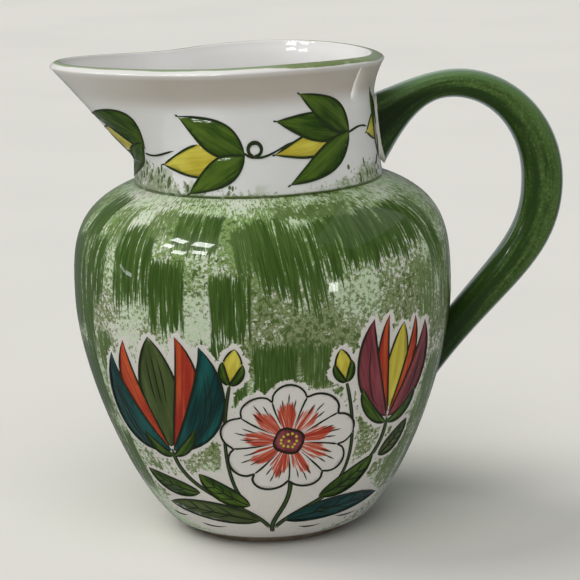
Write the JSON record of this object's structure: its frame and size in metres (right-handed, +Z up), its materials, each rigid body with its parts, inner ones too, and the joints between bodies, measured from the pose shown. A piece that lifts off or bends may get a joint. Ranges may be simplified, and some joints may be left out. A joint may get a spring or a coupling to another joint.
{
  "type": "pitcher",
  "caption": "Round-bellied glazed pitcher with a short neck, a drawn-out pouring spout and a looped side handle, painted with a leaf vine and flowers on a sponged green ground.",
  "frame": {"origin": "on the axis of the round belly, in the plane of the foot ring's resting face", "axes": "+Z up, +X towards the handle, -X towards the spout, +Y across the jug"},
  "size_m": [0.2207, 0.164, 0.2068],
  "materials": {
    "belly_glaze": "glossy clear glaze over green brush and sponge work on white, with painted flowers",
    "bare_clay": "unglazed, matt",
    "neck_glaze": "glossy warm white with a painted leaf vine and a pale green rim line",
    "handle_glaze": "glossy dark green, brushed along its length"
  },
  "bodies": {
    "root": {"belly": "belly_glaze", "foot_ring": "bare_clay", "neck_and_spout": "neck_glaze", "handle": "handle_glaze"}
  },
  "joints": []
}
